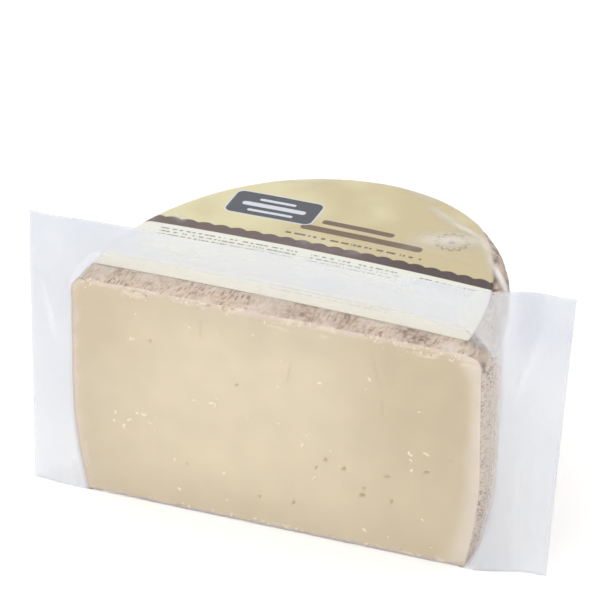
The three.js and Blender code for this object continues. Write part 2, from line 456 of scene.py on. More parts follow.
levels = []  # radius and height of each level
for tilt in np.radians([-90, -60, -30]):
    foot_radius = wheel_radius(BASE_EDGE) - BASE_EDGE + BASE_EDGE * math.cos(tilt)
    levels.append((foot_radius, BASE_EDGE + BASE_EDGE * math.sin(tilt)))
heights = [
    *np.linspace(BASE_EDGE, CRUMBLY, 12)[:-1],
    *np.linspace(CRUMBLY, RIM_FROM - CRUMBLY, 96)[:-1],
    *np.linspace(RIM_FROM - CRUMBLY, RIM_FROM, 17)[:-1],
]
levels += [(radius, z) for radius, z, _ in side_and_rim(0.0, heights, 14)]
top_shares = [1 - y / SHRINK_TO[1] for y in np.arange(0.5, 17.0, 0.9)] + [0.52, 0.36, 0.2, 0.05]
rows = [ring_points(*levels[0], share) for share in BASE_SHARES]
rows += [ring_points(radius, z) for radius, z in levels]
flat_from = len(rows)
rows += [ring_points(*levels[-1], share) for share in top_shares]
ring_size = len(rows[0])
points = np.concatenate(rows)
print("cheese:", len(rows), "rings of", ring_size, "points")

# %% [markdown]
# Relief of the rind
#
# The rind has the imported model's broad dents. Finer noise roughens it, and one noise that is
# stretched along a slant gives the print of the cloth. The side moves along its own outward
# direction, and the top up and down. Displacement in the material would be lost in an export,
# so the points themselves are moved.

# %% Relief of the rind
FLAT_FROM = HEIGHT - 0.01  # points above this lie on the top

x, y, z = points.T
on_ring = np.tile(np.arange(ring_size), len(rows))
on_side = (on_ring <= ROUND_STEPS) & (z > BASE_EDGE) & (z < FLAT_FROM)
on_top = (z > FLAT_FROM) & (y > 0.01)

angle = np.arctan2((y - CUT_TO_MIDDLE) / OVAL, x)
outward = np.column_stack([np.cos(angle), np.sin(angle) / OVAL, np.zeros(len(x))])
outward /= np.linalg.norm(outward, axis=1)[:, None]
rough = 0.32 * grain(points, 7.0, 3.0) + 0.16 * grain(points, 2.6, 9.0)
cloth_print = np.column_stack([x, y, GROOVE_SQUEEZE * (z + SLANT * y)])
rough += 0.18 * grain(cloth_print, 9.0, 13.0)
lift = (dents(angle, z) + rough) * on_side * ramp(0.0, 2.5, y)
top_lift = (0.22 * grain(points, 6.0, 5.0) + 0.12 * grain(points, 2.2, 7.0) - 0.12) * on_top
top_lift *= ramp(0.0, 2.0, y)
print("the rind's side moves by", round(float(lift.min()), 2), "to", round(float(lift.max()), 2), "mm")

# %% [markdown]
# Relief of the cut
#
# On the cut, each eye is a shallow bowl and each crack a narrow groove. The knife leaves low
# waves. The upper edge crumbles, because the dry rind breaks under the knife, and close to both
# edges the paste breaks into flakes that lie along the cut. The places of the eyes and cracks
# are those of the real cheese, so they are a short list. Everything else is noise.

# %% Relief of the cut
EYES = [  # x along the cut, height, half width, half height
    (-54, 78, 0.7, 0.5),
    (-16, 65, 0.6, 0.5),
    (23, 38, 0.7, 1.0),
    (31, 35.5, 0.9, 0.7),
    (50, 36, 1.2, 0.7),
    (40, 28, 0.7, 0.7),
    (39, 24.5, 1.1, 1.3),
    (9, 14, 0.8, 1.1),
    (67, 42, 0.9, 0.6),
    (77.5, 50, 1.0, 0.5),
    (-6, 13.5, 0.8, 0.6),
    (52, 24.5, 0.6, 1.3),
    (19, 33.5, 0.4, 0.5),
    (-38, 22, 0.5, 0.4),
]
CRACKS = [  # from x, height to x, height, and width
    (8.4, 83, 5.5, 69, 0.5),
    (43, 92, 47, 76, 0.45),
    (47, 76, 48.5, 60, 0.4),
    (-32, 93, -31.5, 84, 0.6),
]
FILM_UNDER = 0.15  # the film lies under the base

pit = np.zeros(len(x))
uneven = 1 + 0.55 * grain(points, 1.9, 12.0)
for eye_x, eye_z, half_width, half_height in EYES:
    off = np.hypot((x - eye_x) / half_width, (z - eye_z) / half_height) * uneven
    pit = np.maximum(pit, np.sqrt(np.clip(1 - off**2, 0, 1)))
crack_depth = np.zeros(len(x))
for *line, width in CRACKS:
    share, away = beside(x, z, line)
    open_by = np.exp(-((away / width) ** 2)) * np.sin(np.pi * (0.08 + 0.84 * share))
    crack_depth = np.maximum(crack_depth, open_by)
knife = 0.09 * (1 + grain(points, 26.0, 1.0)) + 0.05 * (1 + grain(points, 4.0, 2.0))

# how far the edge has crumbled, in millimetres
along_edge = upright(x, 0 * x)
chips = 0.35 + 0.5 * ramp(-0.2, 0.5, grain(along_edge, 9.0, 4.0)) + 0.5 * grain(along_edge, 2.4, 6.0)
chips = np.clip(chips, 0.12, 1.5)
edge_fall = chips * np.clip(1 - (HEIGHT - z) / (0.7 + 2.2 * chips), 0, 1) ** 2
edge_fall *= 1 + 0.35 * grain(upright(x, z), 1.5, 8.0)
foot_fall = 0.6 * chips * np.clip(1 - z / (0.6 + 1.2 * chips), 0, 1) ** 2

# flakes are long along the cut, and lie within 8 mm of the top and 4 mm of the base
flaked = ramp(0.02, 0.16, grain(upright(0.16 * x, z), 1.3, 15.0))
flaked *= ramp(-0.1, 0.25, grain(upright(x, z), 13.0, 16.0))
flaked *= np.clip(1 - (HEIGHT - z) / 8.0, 0, 1) + np.clip(1 - z / 4.0, 0, 1)

on_cut = (on_ring > ROUND_STEPS) & (y < 0.01)
inward = (knife + 0.8 * pit + 0.25 * crack_depth + edge_fall + foot_fall + 0.45 * flaked) * on_cut
top_back = chips * np.clip(1 - y / 8, 0, 1) * on_top
top_lift -= 0.5 * chips * np.exp(-y / 0.9) * ((z > FLAT_FROM) & (y < 6))

moved = points + outward * lift[:, None]
moved[:, 1] += inward + top_back
moved[:, 2] = np.clip(moved[:, 2] + top_lift, FILM_UNDER, HEIGHT)
print("cut relief up to", round(float(inward.max()), 2), "mm")

# %% [markdown]
# The cheese as one closed mesh
#
# Paste and rind are one body, so they are one mesh with two materials: the quads of the front
# row are paste, and all others are rind. Two caps close the stack of rings.

# %% The cheese as one closed mesh
faces = []
face_materials = []
for row in range(len(rows) - 1):
    lower = np.arange(ring_size) + row * ring_size
    faces += strip(lower, lower + ring_size, closed=True)
    on_profile = len(BASE_SHARES) <= row < flat_from - 1
    face_materials += [0 if on_profile and i >= ROUND_STEPS else 1 for i in range(ring_size)]
for row, turn in ((0, -1), (len(rows) - 1, 1)):
    cap = (np.arange(ring_size) + row * ring_size).tolist()
    faces.append(tuple(cap[::turn]))
    face_materials.append(1)
cheese = mesh_object("cheese", moved, faces, [paste, rind], face_materials)
print("cheese:", len(faces), "faces")

# %% [markdown]
# Stains and painted crease shade, and what the paste has to know
#
# Rust brown stains lie on the upper edge and here and there on the side, and two blobs of the
# same colour at the right corner are painted shade, for the dark lines where the film pleats. The
# rim at the back right, past the label, is the darkest part of the rind. For the paste, the mesh
# keeps how far each place is from the rind, how aged it is, where eyes and cracks get painted
# shade, and where it has flaked (with a painted highlight), dried white or taken some rind from
# the knife. Painting would give that too, but numbers can be moved by a millimetre.

# %% Stains and painted crease shade, and what the paste has to know
STAINS_AND_CREASE_SHADE = [  # x, y, z, reach, strength
    (55, 8, 101, 5.0, 1.1),
    (61, 5, 101, 4.5, 1.3),
    (79, 16, 101, 2.6, 1.5),
    (82, 12, 101, 3.0, 2.2),
    (86, 9, 100, 2.6, 2.0),
    # these two are painted shade: the dark lines where the film pleats over the right corner
    (90, 3, 95, 2.4, 1.7),
    (91, 8, 90, 2.0, 1.1),
    (-68, 6, 101, 5.0, 0.2),
    (8, 6, 101, 9.0, 0.6),
    (30, 7, 101, 8.0, 0.4),
    (74, 57, 101, 6.0, 0.7),
    (-60, 96, 80, 11.0, 0.4),
    (10, 124, 40, 14.0, 0.4),
    (-88, 40, 60, 10.0, 0.4),
    (84, 48, 30, 9.0, 0.4),
]
stained_and_shaded = np.zeros(len(x))
for *middle, reach, strength in STAINS_AND_CREASE_SHADE:
    away = np.linalg.norm(points - np.array(middle), axis=1)
    stained_and_shaded = np.maximum(stained_and_shaded, strength * np.exp(-((away / reach) ** 2)))
stained_and_shaded *= np.clip(1 + 1.1 * grain(points, 1.7, 31.0), 0.1, 1.7)
turned = np.degrees(angle)
past_label = (0.45 * ramp(-2, 4, turned) + 0.55 * ramp(18, 28, turned)) * (1 - ramp(54, 66, turned))
mottled = 0.9 + 2.4 * grain(points, 2.6, 27.0)
stained_and_shaded = np.maximum(stained_and_shaded, np.clip(past_label * ramp(91, 95, z) * mottled, 0, 2))

half_cut = np.interp(z, [z for _, z in levels], [on_wheel(r, angle_at(r, 0, 1))[0] for r, _ in levels])
to_side = np.where(x > 0, half_cut - x, 0.55 * (half_cut + x))  # the rim is wider on the left
to_rind = np.minimum(np.minimum(to_side, HEIGHT - z), z + 0.4)
aged = ramp(20, 62, x) * (0.3 + 0.45 * ramp(22, 70, z))
aged += 0.45 * (1 - ramp(-78, -35, x)) * ramp(50, 85, z)
band_reach = 5.5 + 0.055 * (HEIGHT - z) + 8.0 * ramp(84, 98, z) + 1.2 * grain(points, 8.0, 18.0)
foot_line = 1.5 + 1.5 * grain(along_edge, 7.0, 35.0) + 0.9 * grain(along_edge, 1.8, 36.0)

at_cut = y < 0.01
store(cheese, "to_rind", np.maximum(to_rind, 0))
# the pit value also sets where eyes and cracks get painted shade
store(cheese, "pit", np.clip(0.85 * pit + 0.25 * crack_depth, 0, 1) * on_cut)
store(cheese, "stain_and_crease_shade", stained_and_shaded)
# the flake value also sets a painted highlight on the pale flakes
store(cheese, "flake_and_highlight", 0.6 * ramp(0.1, 0.5, flaked) * at_cut)
store(cheese, "aged", aged)
store(cheese, "dry_band", 0.8 * (1 - ramp(0.25, 1.0, (half_cut - x) / band_reach)) * at_cut)
store(cheese, "foot_rind", 0.85 * (1 - ramp(-0.4, 0.6, z - foot_line)) * at_cut)
print("stained:", round(100 * float((stained_and_shaded > 0.5).mean()), 1), "% of the points")

# %% [markdown]
# Shapes for the print
#
# A printed label is made of sharp shapes. An image would blur from close by, so each shape is a
# mask that the material works out from its place on the label, in millimetres: boxes with
# rounded corners, and rows of dashes of uneven length, as lines of small print look from afar.
# Where a distance has to be below a limit, a Map Range falls from 1 to 0 round that limit, which
# gives the shape a soft edge.

# %% Shapes for the print
PRINT_SPAN = 200.0  # millimetres that the label's map covers
SOFT = 0.15  # half the width of a printed edge
LINE_SOFT = 0.06  # the same for a line of dashes, as a share of the lines' pitch


def box_mask(tree, place, *boxes):
    """1 inside boxes of x, y, half width, half depth and corner radius, 0 outside."""
    mask = 0.0
    for x, y, half_width, half_depth, corner in boxes:
        inner = (half_width - corner, half_depth - corner, 0.0)
        spot = add(tree, "VectorMath", [place, (x, y, 0.0)], operation="SUBTRACT")
        spot = add(tree, "VectorMath", [spot], operation="ABSOLUTE")
        spot = add(tree, "VectorMath", [spot, inner], operation="SUBTRACT")
        spot = add(tree, "VectorMath", [spot, (0.0, 0.0, 0.0)], operation="MAXIMUM")
        away = add(tree, "VectorMath", [spot], out="Value", operation="LENGTH")
        inside = add(tree, "MapRange", [away, corner + SOFT, corner - SOFT])
        mask = add(tree, "Math", [mask, inside], operation="MAXIMUM")
    return mask


def dash_rows(tree, along, across, pitch, thick, length):
    """Rows of dashes of uneven length."""
    rows = add(tree, "Math", [across, pitch], operation="DIVIDE")
    row = add(tree, "Math", [rows], operation="FLOOR")
    share = add(tree, "Math", [rows], operation="FRACT")
    off = add(tree, "Math", [share, 0.5], operation="SUBTRACT")
    off = add(tree, "Math", [off], operation="ABSOLUTE")
    half = 0.5 * thick / pitch
    line = add(tree, "MapRange", [off, half + LINE_SOFT, half - LINE_SOFT])
    steps = add(tree, "Math", [along, length], operation="DIVIDE")
    apart = add(tree, "Math", [row, 7.31], operation="MULTIPLY")  # no two rows are alike
    drawn = add(tree, "CombineXYZ", [steps, apart])
    gaps = {"Vector": drawn, "Scale": 1.0, "Detail": 1.0}
    gaps = add(tree, "TexNoise", gaps, noise_dimensions="2D")
    dashes = add(tree, "MapRange", [gaps, 0.55, 0.51])
    return add(tree, "Math", [line, dashes], operation="MULTIPLY")


print("print map:", PRINT_SPAN, "mm")

# %% [markdown]
# A rosette
#
# The rosette is a wavy ring with a dot in its middle. Its mask follows from the angle and the
# distance: the ring's radius grows with the sine of the angle, which gives a petal to each wave.

# %% A rosette
ROSETTE = (46, 84, 0)
PETALS = 12
PETAL_DEPTH = 2.0
RING_RADIUS = 5.0
RING_LINE = 0.35  # half the width of the ring's line
DOT_RADIUS = 1.4


def rosette_mask(tree, place):
    centred = add(tree, "VectorMath", [place, ROSETTE], operation="SUBTRACT")
    ahead = add(tree, "SeparateXYZ", [centred], out="Y")
    aside = add(tree, "SeparateXYZ", [centred], out="X")
    turn = add(tree, "Math", [ahead, aside], operation="ARCTAN2")
    petals = add(tree, "Math", [turn, PETALS / 2], operation="MULTIPLY")
    petals = add(tree, "Math", [petals], operation="SINE")
    petals = add(tree, "Math", [petals], operation="ABSOLUTE")
    reach = add(tree, "VectorMath", [centred], out="Value", operation="LENGTH")
    edge = add(tree, "Math", [petals, -PETAL_DEPTH, reach], operation="MULTIPLY_ADD")
    ring = add(tree, "Math", [edge, RING_RADIUS], operation="SUBTRACT")
    ring = add(tree, "Math", [ring], operation="ABSOLUTE")
    ring = add(tree, "MapRange", [ring, RING_LINE + SOFT, RING_LINE - SOFT])
    dot = add(tree, "MapRange", [reach, DOT_RADIUS + SOFT, DOT_RADIUS - SOFT])
    return add(tree, "Math", [ring, dot], operation="MAXIMUM")


print("rosette:", PETALS, "petals,", 2 * (RING_RADIUS + PETAL_DEPTH), "mm across")

# %% [markdown]
# The label's fields
#
# The label has a cream field in front, a yellow field behind and a dark brown band between them,
# with a row of scallops along its upper edge. The yellow is printed in soft clouds, and the cream
# is greyer farther back. Each field is a colour that is laid over the one behind it.

# %% The label's fields
CREAM = colour("#E2D9C3")
CREAM_BACK = colour("#DBD9CD")
YELLOW = colour("#BEAF88")
YELLOW_PALE = colour("#CFC69E")
BAND_BROWN = colour("#5F4E49")
BAND_DARK = colour("#3E2B27")

BAND_FROM = 55.1
BAND_TO = 60.4
SCALLOP = 1.3
SCALLOP_PITCH = 7.2
CLOUD_SIZE = 33.33


def label_fields(tree, place, across, deep):
    # the yellow field is paler in soft clouds and towards the left
    clouds = add(tree, "TexNoise", {"Vector": place, "Scale": 1 / CLOUD_SIZE, "Detail": 2.0})
    leftward = add(tree, "Math", [across, -0.0035, clouds], operation="MULTIPLY_ADD")
    pale = add(tree, "MapRange", [leftward, 0.42, 0.68])
    yellow = coats(tree, YELLOW, (pale, YELLOW_PALE))

    # the band is darker on the right
    wave = add(tree, "Math", [across, math.pi / SCALLOP_PITCH], operation="MULTIPLY")
    wave = add(tree, "Math", [wave], operation="SINE")
    wave = add(tree, "Math", [wave], operation="ABSOLUTE")
    top = add(tree, "Math", [wave, SCALLOP, BAND_TO], operation="MULTIPLY_ADD")
    over = add(tree, "Math", [deep, top], operation="SUBTRACT")
    brown = coats(tree, BAND_BROWN, (add(tree, "MapRange", [across, 5.0, 35.0]), BAND_DARK))
    cream = coats(tree, CREAM, (add(tree, "MapRange", [deep, 22.0, 44.0]), CREAM_BACK))
    on_band = add(tree, "MapRange", [over, SOFT, -SOFT])
    in_front = add(tree, "MapRange", [deep, BAND_FROM + SOFT, BAND_FROM - SOFT])
    return coats(tree, yellow, (on_band, brown), (in_front, cream))


print("brown band:", round(BAND_TO - BAND_FROM, 1), "mm deep, scallops every", SCALLOP_PITCH, "mm")

# %% [markdown]
# Label print
#
# The label is coated paper, offset printed. Plain bars, rows of dashes, a slate plaque and the
# rosette give its fields the density of a printed label. The paper is smooth and half matt, so
# the print gets a low specular level and a faint relief of fibres.

# %% Label print
TITLE_BROWN = colour("#6A5742")
SMALL_GREY = colour("#8C8D88")
SLATE = colour("#45474D")
SLATE_PALE = colour("#C9CBD0")
BEND = 0.00045  # the print bows forward towards both ends, by this times the distance squared
FIBRE_SIZE = 0.625


def make_print():
    material, tree = new_material("coated_label_paper")
    chart = add(tree, "UVMap", uv_map="print")
    span = (PRINT_SPAN, PRINT_SPAN, 0)
    centre = (-PRINT_SPAN / 2, 0, 0)
    flat = add(tree, "VectorMath", [chart, span, centre], operation="MULTIPLY_ADD")
    across = add(tree, "SeparateXYZ", [flat], out="X")
    deep = add(tree, "SeparateXYZ", [flat], out="Y")
    squared = add(tree, "Math", [across, across], operation="MULTIPLY")
    deep = add(tree, "Math", [squared, BEND, deep], operation="MULTIPLY_ADD")
    place = add(tree, "CombineXYZ", [across, deep])

    # in the cream field: three blocks of grey dashes, and a fainter one near the cut
    three = ((-40, 48.8, 30, 3.7, 0.6), (16, 48.8, 20, 3.7, 0.6), (56, 48.8, 13, 3.7, 0.6))
    near_cut = box_mask(tree, place, (16, 21.0, 26, 2.5, 0.6))
    near_cut = add(tree, "Math", [near_cut, 0.45], operation="MULTIPLY")
    blocks = add(tree, "Math", [box_mask(tree, place, *three), near_cut], operation="MAXIMUM")
    small = dash_rows(tree, across, deep, 2.4, 0.95, 1.15)
    small = add(tree, "Math", [small, blocks], operation="MULTIPLY")

    # two plain bars over a line of brown dashes
    title = box_mask(tree, place, (6, 79.0, 16, 1.7, 1.5), (10, 72.5, 27, 2.1, 1.8))
    line = box_mask(tree, place, (10, 65.6, 31, 1.6, 0.6))
    dashes = dash_rows(tree, across, deep, 3.2, 1.3, 1.7)
    line = add(tree, "Math", [dashes, line], operation="MULTIPLY")
    title = add(tree, "Math", [title, line], operation="MAXIMUM")

    # a slate plaque with a pale border and three pale bars
    border = box_mask(tree, place, (-33, 83, 19.6, 9.6, 3.4))
    plaque = box_mask(tree, place, (-33, 83, 19, 9, 3.0))
    bars = ((-33, 87.2, 8, 0.9, 0.8), (-33, 82.6, 14, 1.5, 1.4), (-33, 77.8, 10, 0.9, 0.8))
    bars = box_mask(tree, place, *bars)

    ground = label_fields(tree, place, across, deep)
    inks = ((small, SMALL_GREY), (title, TITLE_BROWN), (border, SLATE_PALE), (plaque, SLATE))
    ground = coats(tree, ground, *inks, (bars, SLATE_PALE), (rosette_mask(tree, place), TITLE_BROWN))

    # real paper fibres are finer, and are drawn this coarse so that they show
    fibres = add(tree, "TexNoise", {"Vector": place, "Scale": 1 / FIBRE_SIZE, "Detail": 3.0})
    relief = add(tree, "Bump", {"Strength": 0.15, "Distance": 0.2 * MM, "Height": fibres})
    look = {"Base Color": ground, "Roughness": 0.5, "Specular IOR Level": 0.25, "Normal": relief}
    add(tree, "OutputMaterial", [add(tree, "BsdfPrincipled", look)])
    return material


label_paper = make_print()
print("material:", label_paper.name)

# %% [markdown]
# Draping the label
#
# The label is a disc of paper, cut off along the front. It lies flat on the wheel and folds down
# over its upper edge at the back and on the left. A draping rule lays each point of the flat
# plan on the wheel: the distance from the wheel's middle is kept, first along the top and then
# round the edge, as paper can't stretch. A cloth simulation would do it too, but less exactly.

# %% Draping the label
LABEL_GAP = 0.12
PAPER = 0.2
LABEL_MIDDLE_X = -6.0
LABEL_HALF_WIDTH = 86.5
LABEL_BACK = 122.0
LABEL_FRONT = 13.0
FOLD_OVER = math.radians(50)
LABEL_TURN = math.radians(-0.7)
RIM = wheel_radius(HEIGHT) - TOP_EDGE


def drape(across, deep, lift):
    """Lays flat plan points on the wheel's top and over its edge. Also gives the tilt."""
    away = np.hypot(across, (deep - CUT_TO_MIDDLE) / OVAL)
    angle = np.arctan2((deep - CUT_TO_MIDDLE) / OVAL, across)
    reach = away / wobble(angle)
    tilt = np.maximum(0, reach - RIM) / (TOP_EDGE + LABEL_GAP)
    reach = np.minimum(reach, RIM) + (TOP_EDGE + lift) * np.sin(tilt)
    x, y = on_wheel(reach, angle)
    return np.column_stack([x, y, RIM_FROM + (TOP_EDGE + lift) * np.cos(tilt)]), tilt


def front_edge(across):
    """The label's straight front edge isn't quite parallel to the cut."""
    return LABEL_FRONT + 0.9 - 0.018 * across - 0.0003 * across**2


def on_label(across, deep):
    laid, tilt = drape(across, deep, LABEL_GAP)
    in_disc = ((laid[:, 0] - LABEL_MIDDLE_X) / LABEL_HALF_WIDTH) ** 2
    in_disc += ((laid[:, 1] - CUT_TO_MIDDLE) / LABEL_BACK) ** 2
    return (in_disc <= 1) & (tilt <= FOLD_OVER) & (deep >= front_edge(across))


print("the label folds over by", round(math.degrees(FOLD_OVER)), "degrees")

# %% [markdown]
# The label
#
# The sheet is made as rays from a point to its outline, which is found by halving: a place on
# the ray is on the label or off it. The print's map is simply the flat plan, so the shapes on it
# stay true where the paper folds over. A Solidify modifier gives the sheet its thickness.

# %% The label
RAYS = 420
RAY_STEPS = 70
HALVINGS = 30
LABEL_HEART = np.array([LABEL_MIDDLE_X, 52.0])

turns = np.linspace(0, 2 * math.pi, RAYS, endpoint=False)
heading = np.column_stack([np.cos(turns), np.sin(turns)])
near, far = np.zeros(RAYS), np.full(RAYS, 200.0)
for _ in range(HALVINGS):
    middle = (near + far) / 2
    flat = LABEL_HEART + heading * middle[:, None]
    inside = on_label(flat[:, 0], flat[:, 1])
    near, far = np.where(inside, middle, near), np.where(inside, far, middle)
shares = np.linspace(0.004, 1, RAY_STEPS)
flat = (LABEL_HEART + heading * near[:, None] * shares[:, None, None]).reshape(-1, 2)
across, deep = flat.T

plan = np.column_stack([flat, 0 * across])
lift = 0.10 * (1 + grain(plan, 16.0, 6.0)) + 0.04 * grain(plan, 5.0, 8.0)
pressed = 1 - ramp(0.0, 5.0, deep - front_edge(across))
lift = lift * (1 - pressed) - 0.1 * pressed  # the film presses the front edge down
sheet, _ = drape(across, deep, LABEL_GAP + lift)
faces = [tuple(range(RAYS))]
for row in range(RAY_STEPS - 1):
    inner = np.arange(RAYS) + row * RAYS
    faces += [quad[::-1] for quad in strip(inner, inner + RAYS, closed=True)]
label = mesh_object("label", sheet, faces, [label_paper])

chart = label.data.uv_layers.new(name="print")
cosine, sine = math.cos(LABEL_TURN), math.sin(LABEL_TURN)
printed_x = across * cosine + (deep - LABEL_FRONT) * sine
printed_y = LABEL_FRONT - across * sine + (deep - LABEL_FRONT) * cosine
printed = np.column_stack([printed_x, printed_y]) / PRINT_SPAN + (0.5, 0)
corner_points = np.zeros(len(label.data.loops), int)
label.data.loops.foreach_get("vertex_index", corner_points)
chart.data.foreach_set("uv", printed[corner_points].ravel())
wall = label.modifiers.new("paper", "SOLIDIFY")
wall.thickness = PAPER * MM
wall.offset = 1.0
print("label:", len(faces), "faces")

# %% [markdown]
# Film
#
# The bag is clear nylon and polythene film. Drawn tight by the vacuum, it takes the cheese's
# form. Where its two sheets are welded together they turn milky, and near the cheese, where they
# meet but aren't welded, they stay clear. Clear film is mostly transparent with a gloss that
# grows at grazing angles. Milky film also scatters light, forwards and back. A fold is several
# layers thick, so it is milkier than flat film; its whiter colour, and its scattering back with
# none passing through, are a painted highlight for folds turned to the light. How milky and how
# folded the film is at each point is stored on the mesh.

# %% Film
FILM_WHITE = colour("#DFE1E6")
FOLD_HIGHLIGHT_WHITE = colour("#F3EDE8")
CLEAR_HAZE = 0.028
WELD_HAZE = 0.5
FOLD_HAZE = 0.55


def make_film():
    material, tree = new_material("nylon_polythene_film")
    place = add(tree, "TexCoord", out="Object")
    weld = add(tree, "Attribute", out="Fac", attribute_name="weld")
    fold = add(tree, "Attribute", out="Fac", attribute_name="fold")
    haze = add(tree, "Math", [weld, WELD_HAZE, CLEAR_HAZE], operation="MULTIPLY_ADD")
    haze = add(tree, "Math", [fold, FOLD_HAZE, haze], operation="MULTIPLY_ADD")
    clear = add(tree, "BsdfTransparent", {"Color": (0.985, 0.99, 0.996, 1.0)})
    # painted highlight: folds get a whiter colour and scatter only back, as folds turned to the light
    white = coats(tree, FILM_WHITE, (fold, FOLD_HIGHLIGHT_WHITE))
    forwards = add(tree, "MapRange", {"Value": fold, "To Min": 0.4, "To Max": 0.0})
    back = add(tree, "BsdfDiffuse", {"Color": white})
    through = add(tree, "BsdfTranslucent", {"Color": white})
    milk = add(tree, "MixShader", [forwards, back, through])
    film = add(tree, "MixShader", [haze, clear, milk])

    ripple = add(tree, "TexNoise", {"Vector": place, "Scale": lumps(7.143), "Detail": 3.0})
    relief = add(tree, "Bump", {"Strength": 0.5, "Distance": 0.6 * MM, "Height": ripple})
    gloss = add(tree, "BsdfGlossy", {"Roughness": 0.13, "Normal": relief})
    facing = add(tree, "LayerWeight", {"Blend": 0.2, "Normal": relief}, out="Facing")
    grazing = add(tree, "Math", [facing, 3.0], operation="POWER")
    shine = add(tree, "MapRange", {"Value": grazing, "To Min": 0.03, "To Max": 0.24})
    add(tree, "OutputMaterial", [add(tree, "MixShader", [shine, film, gloss])])
    return material


bag_film = make_film()
print("material:", bag_film.name)

# %% [markdown]
# The bag
#
# The bag is one closed skin. Its rear sheet is made of rings like the cheese's, a little larger.
# Near the cut they flare outwards, because the film can't turn a sharp corner, and run into the
# flat border. The front sheet lies over the cut and the same border. The two sheets share the
# border's outer edge and are joined along the floor, so the bag has an inside and an outside.

# %% The bag's sizes
SKIN_GAP = 0.75
FILM_WALL = 0.2  # each sheet lies this far from the border's middle plane
TOP_LEFT = np.array([-BORDER_LEFT, 127.3])
TOP_RIGHT = np.array([127.2, 132.5])
BOTTOM_LEFT = np.array([-107.4, 0.0])
BOTTOM_RIGHT = np.array([117.0, 0.0])
FLARE_DEPTH = 14.0
FLARE_ROWS = np.array([0, 0.4, 1, 1.8, 2.8, 4, 5.5, 7, 9, 11, 14])
SIDE_ROWS = 84
RIM_ROWS = 12
BACK_STEPS = 170
FRONT_STEPS = 150
BORDER_STEPS = 22


def film_bend(x, z):
    """How far back the border hangs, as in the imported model."""
    right = 6.5 * ramp(0.95 * HALF_WIDTH, 1.25 * HALF_WIDTH, x)
    left = 1.2 * ramp(HALF_WIDTH, BORDER_LEFT, -x)
    above = ramp(HEIGHT, TOP_RIGHT[1], z)
    middle = 1 - ramp(0.85 * HALF_WIDTH, 1.15 * HALF_WIDTH, np.abs(x))
    ripple = np.sin(0.055 * x + 0.4) + 0.5 * np.sin(0.12 * x + 2)
    return right + left + above * (2.2 * middle + 0.7 * ripple)


def flare_width(x, z):
    """The clear zone between the cheese and the weld: wide above, narrow at both sides."""
    below_rim = np.maximum(0, RIM_FROM - z)
    above = 1 + 12 * ramp(-90, -71, x - below_rim) - 2 * ramp(35, 83, x)
    corner = 4.6 * ramp(83, 88.5, x + below_rim)
    low = 3.4 * ramp(60, 80, x) * (1 - ramp(5, 65, z))
    left = 0.4 + 12.6 * ramp(-90, -78, x - below_rim)
    return np.where(x < 0, left, above - corner - low)


print("clear zone above the cut:", flare_width(0, HEIGHT), "mm")

# %% [markdown]
# The bag's rear sheet
#
# Drawn tight, the film follows the rind's dents, but not its fine grain. Close to the cut it
# lifts off into the flare, where it gathers in pleats. Elsewhere it has slow waves and a few
# narrow creases. All of these are noises of a real size, added along the film's own direction.

# %% The bag's rear sheet
film_levels = side_and_rim(SKIN_GAP, np.linspace(0, RIM_FROM, SIDE_ROWS + 1)[:-1], RIM_ROWS)
even = np.linspace(0, 1, FRONT_STEPS + 1)
chord_shares = (even - 0.8 * np.sin(2 * math.pi * even) / (2 * math.pi))[1:-1]  # denser at both ends


def skin_row(radius, z, tilt, relief=1.0):
    """One level of the skin, from its right end on the cut, round the back, to its left end."""
    right = [angle_at(radius, y, 1) for y in FLARE_ROWS]
    left = [angle_at(radius, y, -1) for y in FLARE_ROWS[::-1]]
    angles = np.concatenate([right, np.linspace(right[-1], left[0], BACK_STEPS)[1:-1], left])
    x, y = on_wheel(radius + dents(angles, z) * relief, angles, z)
    lean = np.column_stack([np.sign(x) * math.cos(tilt), 0 * x, 0 * x + math.sin(tilt)])
    return np.column_stack([x, np.maximum(y, 0.0), 0 * x + z]), lean


def flare(row, lean):
    """Moves a row's points near the cut outwards, into the border."""
    near = np.clip(1 - row[:, 1] / FLARE_DEPTH, 0, 1)
    width = flare_width(row[:, 0], row[:, 2])
    out = row + lean * (width * (1 - np.sqrt(1 - near**2)))[:, None]
    hang = FILM_WALL + film_bend(row[:, 0] + lean[:, 0] * width, row[:, 2] + lean[:, 2] * width)
    out[:, 1] += near * hang
    return out


def creases(places):
    """Narrow ridges where the film has gathered."""
    ridges = (1 - np.abs(grain(places, 24.0, 14.0))) ** 22
    return ridges * ramp(-0.1, 0.25, grain(places, 40.0, 17.0))


def wrinkle(row, lean):
    """Fine pleats that run into the flare, and slow waves everywhere."""
    behind = ramp(0.0, 6.0, row[:, 1])
    pleats = grain(row * (1, 0.16, 1), 5.5, 11.0) * 0.9 * np.exp(-row[:, 1] / 22)
    waves = 0.10 * grain(row, 14.0, 12.0) + 0.05 * grain(row, 4.0, 13.0)
    return row + lean * (behind * (pleats.clip(-0.1, 1) + waves + 0.5 * creases(row)))[:, None]


back_rows = []
for radius, z, tilt in film_levels:
    row, lean = skin_row(radius, z, tilt)
    back_rows.append(wrinkle(flare(row, lean), lean * (z > 0)))
row_size = len(back_rows[0])
print("rear sheet:", len(back_rows), "rows of", row_size, "points")

# %% [markdown]
# The skin over the top
#
# Over the top the film is a stack of closed rings again: the last row, and a chord along the
# cut. They shrink towards one point, with rings close together where the film flares.

# %% The skin over the top
INNER_DEPTHS = [17, 20, 24, 28, 33, 37, 41, 44]  # of the rings behind the flare

